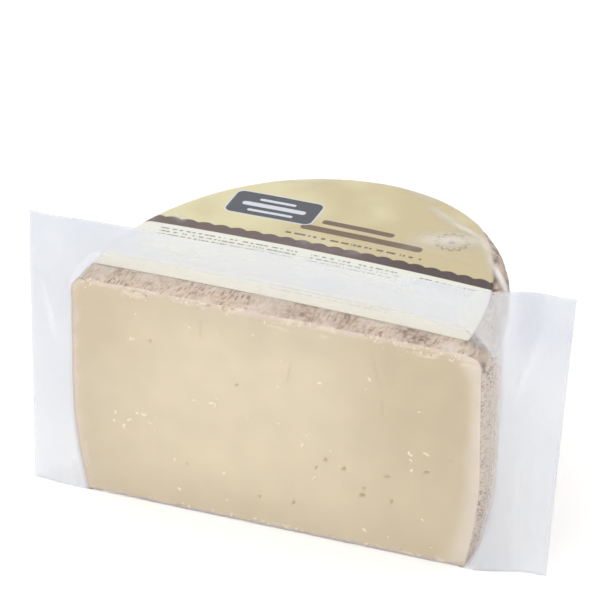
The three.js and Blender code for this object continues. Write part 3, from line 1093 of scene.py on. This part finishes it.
top_radius, top_z, _ = film_levels[-1]
row, _ = skin_row(top_radius, top_z, math.pi / 2, relief=0.0)
chord_x = row[-1, 0] + (row[0, 0] - row[-1, 0]) * chord_shares
rim_ring = np.concatenate([row, upright(chord_x, 0 * chord_x + top_z)])
up = np.tile([0.0, 0.0, 1.0], (len(rim_ring), 1))
top_heart = np.array([*SHRINK_TO, top_z])
top_rings = []
for depth in [*FLARE_ROWS, *INNER_DEPTHS]:
    shrink = 1 - depth / SHRINK_TO[1]
    ring = top_heart + (rim_ring - top_heart) * (shrink, shrink, 1)
    top_rings.append(wrinkle(flare(ring, up), up))
print("top:", len(top_rings), "rings of", len(rim_ring), "points")

# %% [markdown]
# The rear sheet's faces
#
# Each row is put into one list of points, and the faces between two rows are named by the
# points' numbers, so that sheets which meet can share a row. With each point goes how milky it
# is. On the left the film is milky right up to the cheese, and round its upper left corner.

# %% The rear sheet's faces
HAZE_EDGE = -89.1  # where the milky film starts, to the left of the cheese
CORNER_SLANT = 0.78  # above the rim that edge runs to the right by this much for each millimetre
CORNER_FROM = RIM_FROM + 2.2
BASE_HEART = np.array([0.0, FLARE_DEPTH, 0.0])

bag_points = []
bag_weld = []
bag_faces = []


def put(places, weld=0.0):
    """Adds points to the bag and returns their numbers."""
    first = sum(len(part) for part in bag_points)
    bag_points.append(np.asarray(places, float))
    bag_weld.append(np.broadcast_to(weld, len(places)).astype(float))
    return np.arange(first, first + len(places))


def left_corner(x, z, edge=HAZE_EDGE):
    """1 left of a line that slants to the right above the cheese's upper left corner."""
    line = edge + CORNER_SLANT * np.maximum(0, z - CORNER_FROM)
    return ramp(-1.1, 0.0, line - x)


level_numbers = []
for row in back_rows:
    level_numbers.append(put(row, (row[:, 0] < 0) * (1 - ramp(1.5, 6.0, row[:, 1]))))
for lower, upper in zip(level_numbers, level_numbers[1:]):
    bag_faces += strip(lower, upper)
milky_top = [left_corner(ring[:, 0], ring[:, 2]) * (1 - ramp(8, 14, ring[:, 1])) for ring in top_rings]
chord_numbers = put(top_rings[0][row_size:], milky_top[0][row_size:])
ring_numbers = [np.concatenate([level_numbers[-1], chord_numbers])]
ring_numbers += [put(ring, milky) for ring, milky in zip(top_rings[1:], milky_top[1:])]

under = back_rows[0][-1] + (back_rows[0][0] - back_rows[0][-1]) * chord_shares[:, None]
under_numbers = put(under)
base_ring = np.concatenate([back_rows[0], under])
base_numbers = [np.concatenate([level_numbers[0], under_numbers])]
for share in (0.85, 0.6, 0.3, 0.05):
    base_numbers.append(put(BASE_HEART + (base_ring - BASE_HEART) * share))
for stack in (ring_numbers, base_numbers):
    for outer, inner in zip(stack, stack[1:]):
        bag_faces += strip(outer, inner, closed=True)
    bag_faces.append(tuple(stack[-1].tolist()))
print("rear sheet:", len(bag_faces), "faces")

# %% [markdown]
# The border's outlines
#
# The welded border is an upside-down U. Its inner outline is where the flare ends: up on the
# right, across the top and down on the left. The outer outline is the bag's cut edge, straight
# between its corners. Each has the same number of points, so rows can be laid between them.

# %% The border's outlines
u_numbers = np.concatenate([
    [numbers[0] for numbers in level_numbers],
    chord_numbers[::-1],
    [numbers[-1] for numbers in level_numbers[::-1]],
])
inner_line = np.concatenate([
    [row[0] for row in back_rows],
    top_rings[0][row_size:][::-1],
    [row[-1] for row in back_rows[::-1]],
])
inner_flat = inner_line[:, [0, 2]]


def outer_line():
    """The border's outer edge, point by point beside the inner outline."""
    turn = SIDE_ROWS + RIM_ROWS // 2  # the level that faces the film's corner
    last = len(inner_flat) - 1
    x, z = inner_flat.T
    right = BOTTOM_RIGHT + (TOP_RIGHT - BOTTOM_RIGHT) * (z / z[turn])[:, None]
    left = BOTTOM_LEFT + (TOP_LEFT - BOTTOM_LEFT) * (z / z[last - turn])[:, None]
    share = (x - x[last - turn]) / (x[turn] - x[last - turn])
    top = TOP_LEFT + (TOP_RIGHT - TOP_LEFT) * share[:, None]
    place = np.arange(last + 1)[:, None]
    return np.where(place < turn, right, np.where(place > last - turn, left, top))


edge_line = outer_line()
print("border:", len(edge_line), "points along each outline")

# %% [markdown]
# The border
#
# Two sheets run from the inner outline to the outer one and share the film's bend, its slow
# waves and a few long folds. The weld isn't even: it is milky at once beside the cheese, but
# starts softly above it, it is thinner along its middle, and faint clouds lie in it. Low down it
# is made thinner too, as painted light that lifts the shade near the floor, and along each fold
# it is clearer, as a painted highlight.

# %% The border
BORDER_FOLDS = [  # from x, z to x, z, width and strength
    (115, 117, 102, 80, 2.0, 1.0),
    (104, 52, 103.5, 12, 2.2, 1.0),
    (-60, 124, -20, 119, 1.8, 1.0),
    (30, 128, 78, 121, 1.6, 1.0),
    (-103, 96, -96, 70, 1.2, 1.0),
]


def ridge(x, y, folds):
    """1 along a fold's crest, 0 beside it, fading to its ends."""
    crest = np.zeros(len(x))
    for *line, width, strength in folds:
        share, away = beside(x, y, line)
        profile = np.exp(-((away / width) ** 2)) * np.sin(np.pi * share) ** 0.5
        crest = np.maximum(crest, strength * profile)
    return crest


def milkiness(flat, away, from_edge):
    """How milky the border is at places this far from its inner and its outer outline."""
    x, z = flat.T
    softness = 4.0 - 3.3 * ramp(78, 90, np.abs(x))
    milk = 0.5 + 0.5 * ramp(-0.5, softness, away)
    milk = np.maximum(milk, np.where(z < RIM_FROM, x < 0, left_corner(x, z)))
    # the weld is thin along its middle above
    thin = (1 - ramp(2, 14, from_edge)) * ramp(-65, -45, x) * (1 - ramp(50, 72, x))
    milk *= 1 - 0.55 * thin * (z > HEIGHT)
    # on both sides it is strongest high up; low down it is made thinner, and on the left thinner still
    # beside the cheese, as painted light that lifts the shade near the floor
    on_left = 1 - ramp(-75, -50, x)
    on_right = ramp(98, 106, x) * (1 - 0.5 * ramp(106, 120, x))
    low = 1 - ramp(5, 40, z)
    painted_light_low_left = 0.5 * low * (1 - 0.4 * ramp(0, 14, away))
    milk *= 1 + on_left * (0.4 * ramp(60, 120, z) - painted_light_low_left)
    milk *= 1 + on_right * (0.7 * ramp(96, 118, z) - 0.3 * low)
    # it is nearly clear over the upper right corner of the cheese
    milk *= 1 - 0.45 * ramp(76, 84, x) * (1 - ramp(94, 100, x)) * ramp(90, 98, z)
    clouds = 0.16 * grain(upright(x, 0.4 * z), 11.0, 25.0) + 0.12 * grain(upright(x, z), 30.0, 26.0)
    # painted highlight: along each of the border's folds the weld is made clearer, so the fold shows
    # brighter
    return milk * (1 + clouds - 0.3 * ridge(x, z, BORDER_FOLDS))


rear, front = [u_numbers], []
for t in np.linspace(0, 1, BORDER_STEPS + 1) ** 1.6:
    flat = inner_flat + (edge_line - inner_flat) * t
    x, z = flat.T
    waves = grain(upright(x, z), 24.0, 21.0) * 0.35 * math.sin(math.pi * t)
    y = film_bend(x, z) + waves + 0.5 * ridge(x, z, BORDER_FOLDS)
    away = np.hypot(*(flat - inner_flat).T)
    at_edge = 0.55 if t == 1 else 1  # the cut edge itself is clearer
    milky = milkiness(flat, away, np.hypot(*(edge_line - flat).T)) * at_edge
    front.append(put(np.column_stack([x, y - FILM_WALL, z]), milky))
    if t > 0:
        rear.append(put(np.column_stack([x, y + FILM_WALL, z]), milky))
for sheet_rows in (rear, front):
    for inner, outer in zip(sheet_rows, sheet_rows[1:]):
        bag_faces += strip(inner, outer)
bag_faces += strip(rear[-1], front[-1])
print("border:", len(rear), "rows on each sheet")

# %% [markdown]
# The front sheet over the cut
#
# The front sheet is a grid that shares its outline with the border. It clings to the cut, which
# shows through it clear. Only at its edges is it milky: to the left of the cheese, in a narrow
# strip on the right, where the weld starts early, and above, where the clear zone ends.

# %% The front sheet over the cut
top_level = len(level_numbers) - 1
front_outline = front[0]


def left_edge(level):
    """Where the cheese ends on the left, at a level of the film."""
    _, z_level, tilt = film_levels[level]
    end_x = inner_line[-1 - level, 0]
    return end_x + flare_width(end_x, z_level) * math.cos(tilt) + SKIN_GAP


grid = []
for level, (_, z_level, tilt) in enumerate(film_levels[:-1]):
    right_x, left_x = inner_line[level, 0], inner_line[-1 - level, 0]
    x = left_x + (right_x - left_x) * chord_shares
    width = flare_width(x, z_level)
    z = z_level + math.sin(tilt) * width
    y = film_bend(x, z) - FILM_WALL + 0.08 * grain(upright(x, z), 9.0, 23.0)
    on_left = left_corner(x, z, left_edge(min(level, SIDE_ROWS)))
    on_left *= 1 + 0.6 * ramp(RIM_FROM - 3, RIM_FROM + 3, z)
    early = 2.6 - 1.2 * ramp(40, 80, z_level)
    on_right = np.maximum(0.65 * ramp(-early, -0.3, x - right_x), 0.12 * ramp(86, 92, x))
    width = flare_width(x, HEIGHT)
    above = 0.5 * (1 - ramp(0, 7, top_z + width - z)) * ramp(2, 8, width)
    own = put(np.column_stack([x, y, z]), np.max([on_left, on_right, above], axis=0))
    grid.append([front_outline[-1 - level], *own, front_outline[level]])
grid.append(front_outline[top_level : top_level + FRONT_STEPS + 1][::-1])
for lower, upper in zip(grid, grid[1:]):
    bag_faces += strip(lower, upper)

# the two sheets are joined along the floor
bag_faces += strip(grid[0], [level_numbers[0][-1], *under_numbers, level_numbers[0][0]])
for end in (0, -1):
    bag_faces += strip([row[end] for row in rear], [row[end] for row in front])
bag_place = np.concatenate(bag_points)
print("bag:", len(bag_place), "points,", len(bag_faces), "faces")

# %% [markdown]
# Folds, and the bag as one mesh
#
# Where the film has too much width, it folds over itself: in long soft folds at the right of the
# label, in short ones on the wall, and in creases here and there. Each is a short line with a
# width and a strength. Last, the normals are turned outwards, and a count of open edges shows
# that the bag is closed.

# %% Folds, and the bag as one mesh
TOP_FOLDS = [  # on the wheel's top, from x, y to x, y, width and strength
    (27, 107, 46, 95, 2.4, 0.7),
    (38, 99, 59, 88, 2.0, 0.9),
    (54, 93, 67, 76, 3.2, 0.8),
    (62, 84, 71, 64, 1.8, 0.7),
    (68, 73, 83, 51, 1.9, 1.3),
    (29, 77, 63, 88, 6.0, 0.85),
    (30, 84, 52, 87, 1.2, 0.4),
    (8, 119, 32, 109, 3.0, 0.35),
    (-14, 60.5, 16, 59, 1.8, 0.5),
    (-44, 104, -14, 112, 1.6, 0.5),
    (40, 72, 64, 68, 1.3, 0.25),
    (-70, 62, -62, 58, 2.0, 0.6),
]
SIDE_FOLDS = [  # on the wheel's right side, from y, z to y, z, width and strength
    (28, 68, 12, 64, 0.9, 0.7),
    (18, 30, 7, 22, 0.7, 0.7),
    (60, 84, 34, 76, 1.2, 0.7),
]

on_skin = np.ones(len(bag_place), bool)
on_skin[np.concatenate(front + rear[1:])] = False
on_top = (bag_place[:, 2] > HEIGHT - 3) & (bag_place[:, 1] > FLARE_DEPTH)
fold = ridge(bag_place[:, 0], bag_place[:, 1], TOP_FOLDS) * on_top
bag_place[:, 2] += 0.5 * fold
on_right = (bag_place[:, 0] > 40) & (bag_place[:, 1] > 2) & on_skin
fold = np.maximum(fold, ridge(bag_place[:, 1], bag_place[:, 2], SIDE_FOLDS) * on_right)
on_wall = 1 - ramp(RIM_FROM - 6, RIM_FROM, bag_place[:, 2])
gathered = creases(bag_place) * (0.25 + 0.5 * on_wall)
fold = np.maximum(fold, gathered * (bag_place[:, 1] > 3) * on_skin)

bag = mesh_object("vacuum_bag", bag_place, bag_faces, [bag_film])
store(bag, "weld", np.concatenate(bag_weld))
store(bag, "fold", fold)

shell = bmesh.new()
shell.from_mesh(bag.data)
bmesh.ops.recalc_face_normals(shell, faces=shell.faces)
open_edges = sum(1 for edge in shell.edges if not edge.is_manifold)
shell.to_mesh(bag.data)
shell.free()
print("bag: open edges", open_edges)

# %% [markdown]
# Crystals and crumbs
#
# Old cheese has white crystals in its paste, each about a millimetre. The dry edges crumble
# under the knife, and the film presses the crumbs back on. Both are many small rough grains, so
# one Geometry Nodes tree makes them: it sets a grain on each point of a point cloud, turns and
# sizes it at random, moves its corners by up to a sixth of the smallest size and gives it its
# material. Placing them by hand would take as many objects as there are crumbs.


# %% A tree that scatters grains
def grain_tree():
    """Puts a rough grain on each point of a mesh."""
    tree = bpy.data.node_groups.new("scattered_grains", "GeometryNodeTree")
    face = tree.interface
    face.new_socket("Geometry", in_out="INPUT", socket_type="NodeSocketGeometry")
    for name in ("Smallest", "Largest"):
        face.new_socket(name, in_out="INPUT", socket_type="NodeSocketFloat")
    face.new_socket("Seed", in_out="INPUT", socket_type="NodeSocketInt")
    face.new_socket("Material", in_out="INPUT", socket_type="NodeSocketMaterial")
    face.new_socket("Geometry", in_out="OUTPUT", socket_type="NodeSocketGeometry")
    given = add(tree, "NodeGroupInput").node.outputs
    seed = given["Seed"]

    ball = add(tree, "GeometryNodeMeshIcoSphere", {"Radius": 0.5, "Subdivisions": 2})
    between = (  # how a grain is turned and shaped, and how its corners are shaken
        {"Min": (-0.3, 0, -0.3), "Max": (0.3, 2 * math.pi, 0.3), "Seed": seed},
        {"Min": (0.9, 0.35, 0.6), "Max": (2.0, 0.6, 1.0), "Seed": seed},
        {"Min": (-1.0,) * 3, "Max": (1.0,) * 3, "Seed": seed},
    )
    turn, shape, shake = (
        add(tree, "FunctionNodeRandomValue", limits, data_type="FLOAT_VECTOR") for limits in between
    )
    sizes = {2: given["Smallest"], 3: given["Largest"], "Seed": seed}
    size = add(tree, "FunctionNodeRandomValue", sizes, out=1, data_type="FLOAT")
    scale = add(tree, "VectorMath", {0: shape, "Scale": size}, operation="SCALE")
    spread = {"Points": given["Geometry"], "Instance": ball, "Rotation": turn, "Scale": scale}
    grains = add(tree, "GeometryNodeInstanceOnPoints", spread)
    real = add(tree, "GeometryNodeRealizeInstances", [grains])
    amount = add(tree, "Math", [given["Smallest"], 0.16], operation="MULTIPLY")
    nudge = add(tree, "VectorMath", {0: shake, "Scale": amount}, operation="SCALE")
    rough = add(tree, "GeometryNodeSetPosition", {"Geometry": real, "Offset": nudge})
    look = {"Geometry": rough, "Material": given["Material"]}
    add(tree, "NodeGroupOutput", [add(tree, "GeometryNodeSetMaterial", look)])
    return tree


grains_tree = grain_tree()
print("tree:", grains_tree.name)

# %% [markdown]
# From points to a mesh
#
# The tree runs as a modifier on a mesh of loose points, with its inputs set by their
# identifiers. What it gives is then turned into a plain mesh, and the modifier goes. Both kinds
# of grain are matt, and one noise varies their colour, because no two are alike.


# %% From points to a mesh
def scatter(name, places, smallest, largest, seed, material):
    """Turns a cloud of points into a mesh of rough grains."""
    cloud = mesh_object(name, places, [], [])
    run = cloud.modifiers.new("grains", "NODES")
    run.node_group = grains_tree
    inputs = {item.name: item.identifier for item in grains_tree.interface.items_tree}
    run[inputs["Smallest"]] = smallest * MM
    run[inputs["Largest"]] = largest * MM
    run[inputs["Seed"]] = seed
    run[inputs["Material"]] = material
    seen = cloud.evaluated_get(bpy.context.evaluated_depsgraph_get())
    mesh = bpy.data.meshes.new_from_object(seen)
    cloud.modifiers.remove(run)
    cloud.data = mesh
    mesh.name = name
    print(name, len(places), "grains,", len(mesh.polygons), "faces")
    return cloud


def make_grain(name, size, detail, first, second, from_to, roughness):
    """A matt grain that changes from one colour to another in lumps of a size."""
    material, tree = new_material(name)
    place = add(tree, "TexCoord", out="Object")
    kinds = add(tree, "TexNoise", {"Vector": place, "Scale": lumps(size), "Detail": detail})
    share = add(tree, "MapRange", [kinds, *from_to])
    tone = coats(tree, colour(first), (share, colour(second)))
    look = {"Base Color": tone, "Roughness": roughness}
    add(tree, "OutputMaterial", [add(tree, "BsdfPrincipled", look)])
    return material


print("the tree's inputs:", [item.name for item in grains_tree.interface.items_tree][1:])

# %% [markdown]
# Crystals on the cut
#
# The crystals are tyrosine, which gathers in old cheese as hard white grains. They lie in small
# groups, with a few strays, so the points are drawn round the groups' middles from one seeded
# generator. Against the waxy paste they look a little chalky.

# %% Crystals on the cut
CLUSTERS = [  # x along the cut, height, spread, how many
    (-69.8, 40.1, 0.5, 2),
    (-66.1, 34.3, 0.4, 2),
    (-63.3, 38.2, 0.7, 3),
    (-56.6, 41.6, 0.5, 2),
    (-53.8, 38.6, 0.4, 2),
    (-51.6, 41.7, 0.4, 1),
    (-33.8, 53.6, 0.5, 2),
    (-60, 38, 7.0, 6),
    (66.7, 50.8, 0.6, 3),
    (59.8, 48.7, 0.7, 4),
    (13.6, 48.3, 0.8, 3),
    (17.6, 28.1, 0.8, 4),
    (-26, 54.3, 0.8, 3),
    (-62.5, 76.9, 0.8, 4),
    (42.2, 80.9, 0.6, 3),
]
STRAYS = 30
chance = np.random.default_rng(7)
spots = [chance.normal((x, z), (wide, 0.6 * wide), (count, 2)) for x, z, wide, count in CLUSTERS]
spots.append(chance.uniform((-80, 6), (80, 92), (STRAYS, 2)))
crystal_x, crystal_z = np.concatenate(spots).T
crystal_places = np.column_stack([crystal_x, 0 * crystal_x + 0.12, crystal_z])
crystal = make_grain("tyrosine_crystal", 0.4, 2.0, "#E8DDC8", "#DACCB1", (0.0, 1.0), 0.5)
crystals = scatter("cheese_crystals", crystal_places, 0.5, 1.5, 3, crystal)

# %% [markdown]
# Crumbs along the cut's edges
#
# Dry crumbs lie along the upper edge, most of them close to it, and a few at the foot. They are
# cream, or pinkish brown where they come from the rind. A noise thins them out in places, as
# crumbs never lie evenly.

# %% Crumbs along the cut's edges
CRUMBS_ABOVE = 560
CRUMBS_BELOW = 150
crumb_x = chance.uniform(-86, 87, CRUMBS_ABOVE)
crumb_fall = np.abs(chance.normal(0, 1.8, CRUMBS_ABOVE))
crumb_y = 0.28 + chance.uniform(0, 0.9, CRUMBS_ABOVE) * np.clip(1 - crumb_fall / 3, 0, 1)
above = np.column_stack([crumb_x, crumb_y, HEIGHT - 0.3 - crumb_fall])
keep = grain(above * (1, 0, 1), 9.0, 31.0) > -0.12
foot_x = chance.uniform(-82, 84, CRUMBS_BELOW)
foot_z = 1.25 + np.abs(chance.normal(0, 0.7, CRUMBS_BELOW))
below_edge = np.column_stack([foot_x, np.full(CRUMBS_BELOW, 0.3), foot_z])
crumb_places = np.concatenate([above[keep], below_edge])
crumb = make_grain("dry_cheese_crumb", 2.381, 2.0, "#DDCFB8", "#B59D88", (0.5, 0.66), 0.7)
crumbs = scatter("cheese_crumbs", crumb_places, 0.45, 1.3, 5, crumb)

# %% [markdown]
# What each piece is
#
# Each piece is tied to the body that it moves with, and the imported model's solids are hidden.

# %% What each piece is
for piece, slot in (
    (cheese, "cheese"),
    (crystals, "cheese"),
    (crumbs, "cheese"),
    (label, "label"),
    (bag, "film"),
):
    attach(piece, "root")
    print(piece.name, "takes its finish from", slot)
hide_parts("cheese_half")
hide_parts("paper_label")
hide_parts("vacuum_film")

# %% [markdown]
# Floor
#
# The pack was photographed on white. A wide pale matt floor gives that, and takes the soft
# shadow that shows where the pack stands.

# %% Floor
FLOOR_REACH = 6.0  # metres
FLOOR_DROP = 0.04 * MM  # just under the base, so that the two don't coincide

scene = bpy.context.scene
floor_mesh = bpy.data.meshes.new("floor")
sides = ((-1, -1), (1, -1), (1, 1), (-1, 1))
corners = [(FLOOR_REACH * right, FLOOR_REACH * back, -FLOOR_DROP) for right, back in sides]
floor_mesh.from_pydata(corners, [], [(0, 1, 2, 3)])
floor = bpy.data.objects.new("floor", floor_mesh)
scene.collection.objects.link(floor)
floor_material, tree = new_material("white_floor")
plain = add(tree, "BsdfDiffuse", {"Color": colour("#FDFDFD")})
add(tree, "OutputMaterial", [plain])
floor_mesh.materials.append(floor_material)
print("floor:", 2 * FLOOR_REACH, "m wide")

# %% [markdown]
# Light
#
# The pack is lit from all sides by a bright sky. It is brighter overhead than at the horizon, as
# a studio's ceiling is, so that the film's wrinkles have something to reflect. One soft light
# from the upper left in front gives the film its gloss, and the cheese a slow fall of light from
# left to right.

# %% Light
KEY_PLACE = Vector((-0.62, -0.72, 0.72))  # metres
KEY_AIM = Vector((0, 0, 0.05))

world = bpy.data.worlds.new("studio")
world.use_nodes = True
tree = world.node_tree
tree.nodes.clear()
rise = add(tree, "SeparateXYZ", [add(tree, "TexCoord", out="Generated")], out="Z")
glow = add(tree, "MapRange", [rise, 0.05, 0.8, 0.86, 1.3])
sky = add(tree, "Background", {"Color": colour("#FFFFFF"), "Strength": glow})
add(tree, "OutputWorld", [sky])
scene.world = world

key = bpy.data.lights.new("key", "AREA")
key.size = 0.55
key.energy = 2.4
lamp = bpy.data.objects.new("key", key)
lamp.location = KEY_PLACE
lamp.rotation_euler = (KEY_AIM - KEY_PLACE).to_track_quat("-Z", "Y").to_euler()
scene.collection.objects.link(lamp)
scene.view_settings.view_transform = "Standard"
scene.cycles.transparent_max_bounces = 24
print("light:", round((KEY_AIM - KEY_PLACE).length, 2), "m away")

# %% [markdown]
# Camera
#
# The photograph was taken from a little to the right and well above, from far away: the
# camera's place and its long lens were fitted to the outlines of the cheese and the bag.

# %% Camera
CAMERA_TURN = math.radians(21.482)
CAMERA_RISE = math.radians(30.358)
CAMERA_DISTANCE = 2652.6
CAMERA_TARGET = np.array([-3.065, 37.895, 87.481])

backwards = np.array([
    math.sin(CAMERA_TURN) * math.cos(CAMERA_RISE),
    -math.cos(CAMERA_TURN) * math.cos(CAMERA_RISE),
    math.sin(CAMERA_RISE),
])
lens = bpy.data.cameras.new("camera")
lens.sensor_width = 36.0
lens.lens = 387.74
lens.clip_end = 50.0
camera = bpy.data.objects.new("camera", lens)
camera.location = in_frame(CAMERA_TARGET + CAMERA_DISTANCE * backwards)
camera.rotation_euler = Vector(-backwards).to_track_quat("-Z", "Y").to_euler()
scene.collection.objects.link(camera)
scene.camera = camera
print("camera at", [round(value, 3) for value in camera.location])
